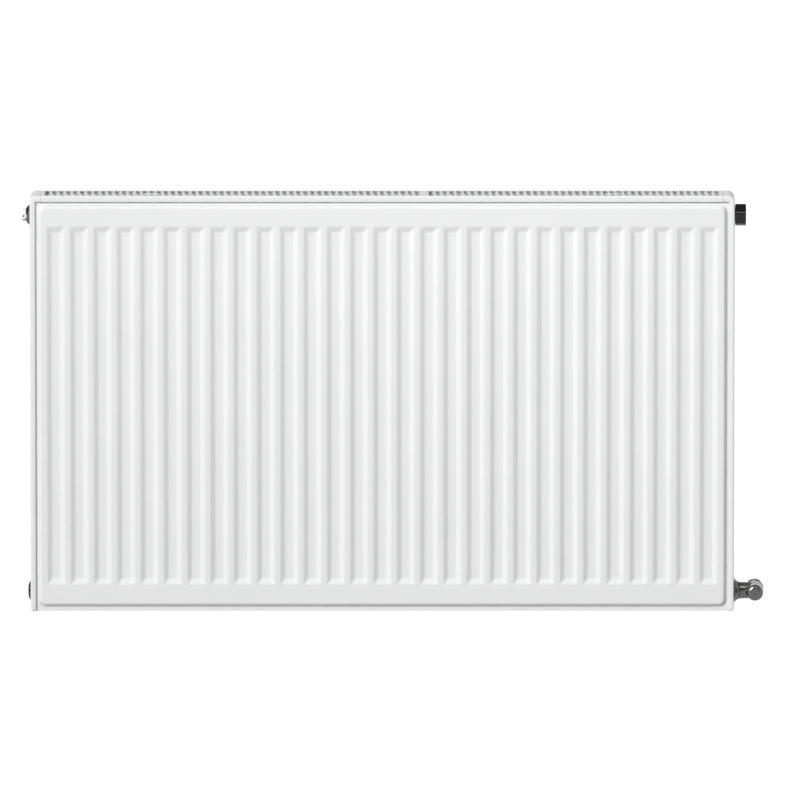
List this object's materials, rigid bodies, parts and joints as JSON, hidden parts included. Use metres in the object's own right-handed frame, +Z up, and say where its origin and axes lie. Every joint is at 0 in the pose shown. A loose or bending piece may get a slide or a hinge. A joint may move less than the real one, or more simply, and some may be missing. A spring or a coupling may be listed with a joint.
{
  "type": "panel radiator",
  "caption": "Wall-hung steel panel radiator with fluted water panels, convector fins, slotted top grille, side covers, wall brackets, air vent, plug, union and lockshield valve.",
  "frame": {"origin": "on the wall plane at mid-width, level with the bottom seam of the water panels", "axes": "+Z up, +X to the right as seen from the room, +Y into the wall; the front faces -Y"},
  "size_m": [1.0635, 0.102, 0.6],
  "materials": {
    "white_paint": "semi-gloss white powder coat",
    "nickel": "nickel-plated brass",
    "dark_nickel": "dark satin nickel",
    "brass": "machined",
    "zinc": "bright zinc plate",
    "white_plastic": "moulded",
    "grey_plastic": "moulded",
    "rubber": "matt"
  },
  "bodies": {
    "radiator": {"anti_lift_clamp_left": "zinc", "anti_lift_clamp_right": "zinc", "anti_lift_screw_left": "zinc", "anti_lift_screw_right": "zinc", "blanking_plug": "dark_nickel", "blanking_plug_seal": "rubber", "bracket_saddle_bottom_left": "grey_plastic", "bracket_saddle_bottom_right": "grey_plastic", "bracket_saddle_top_left": "grey_plastic", "bracket_saddle_top_right": "grey_plastic", "convector_strip_1": "white_paint", "convector_strip_2": "white_paint", "convector_strip_3": "white_paint", "convector_strip_4": "white_paint", "convector_strip_5": "white_paint", "convector_strip_6": "white_paint", "convector_strip_7": "white_paint", "front_panel_inner_sheet": "white_paint", "front_panel_outer_sheet": "white_paint", "hanging_lug_bottom_left": "white_paint", "hanging_lug_bottom_right": "white_paint", "hanging_lug_top_left": "white_paint", "hanging_lug_top_right": "white_paint", "lockshield_body": "nickel", "lockshield_bonnet": "brass", "lockshield_pipe_sleeve": "nickel", "lockshield_tailpiece": "nickel", "lockshield_tailpiece_seal": "rubber", "lockshield_union_nut": "nickel", "port_tee_bottom_left": "white_paint", "port_tee_bottom_right": "white_paint", "port_tee_top_left": "white_paint", "port_tee_top_right": "white_paint", "rear_panel_inner_sheet": "white_paint", "rear_panel_outer_sheet": "white_paint", "side_cover_left": "white_paint", "side_cover_right": "white_paint", "spindle_seal": "rubber", "union_gasket": "rubber", "union_tailpiece": "nickel", "union_tailpiece_seal": "rubber", "vent_plug_body": "nickel", "vent_plug_seal": "rubber", "wall_bracket_left": "white_paint", "wall_bracket_right": "white_paint"},
    "grille": {"top_grille": "white_paint", "grille_clip_front_left": "zinc", "grille_clip_front_right": "zinc", "grille_clip_rear_left": "zinc", "grille_clip_rear_right": "zinc"},
    "vent_nozzle": {"vent_nozzle": "white_plastic"},
    "bleed_screw": {"bleed_screw": "brass"},
    "union_nut": {"union_nut": "dark_nickel"},
    "lockshield_cap": {"lockshield_cap": "nickel"},
    "lockshield_spindle": {"lockshield_spindle": "brass"},
    "lockshield_disc": {"lockshield_disc": "brass"}
  },
  "joints": [
    {"name": "grille_lift", "type": "slide", "parent": "radiator", "child": "grille", "axis": [0, 0, 1], "range_m": [0, 0.05]},
    {"name": "vent_nozzle_swivel", "type": "hinge", "parent": "radiator", "child": "vent_nozzle", "pos_m": [-0.512, -0.069, 0.569], "axis": [-1, 0, 0], "continuous": true},
    {"name": "bleed_screw_turn", "type": "hinge", "parent": "radiator", "child": "bleed_screw", "pos_m": [-0.508, -0.069, 0.569], "axis": [-1, 0, 0], "range_deg": [0, 360]},
    {"name": "union_nut_spin", "type": "hinge", "parent": "radiator", "child": "union_nut", "pos_m": [0.513, -0.069, 0.569], "axis": [1, 0, 0], "continuous": true},
    {"name": "cap_pull", "type": "slide", "parent": "radiator", "child": "lockshield_cap", "axis": [0, -1, 0], "range_m": [0, 0.03]},
    {"name": "spindle_turn", "type": "hinge", "parent": "radiator", "child": "lockshield_spindle", "pos_m": [0.534, -0.08, 0.026], "axis": [0, -1, 0], "range_deg": [0, 1440]},
    {"name": "disc_travel", "type": "slide", "parent": "radiator", "child": "lockshield_disc", "axis": [0, -1, 0], "range_m": [0, 0.004]}
  ],
  "couplings": [
    {"joint": "spindle_turn", "follows": "disc_travel", "rad_per_m": 6283.2}
  ]
}
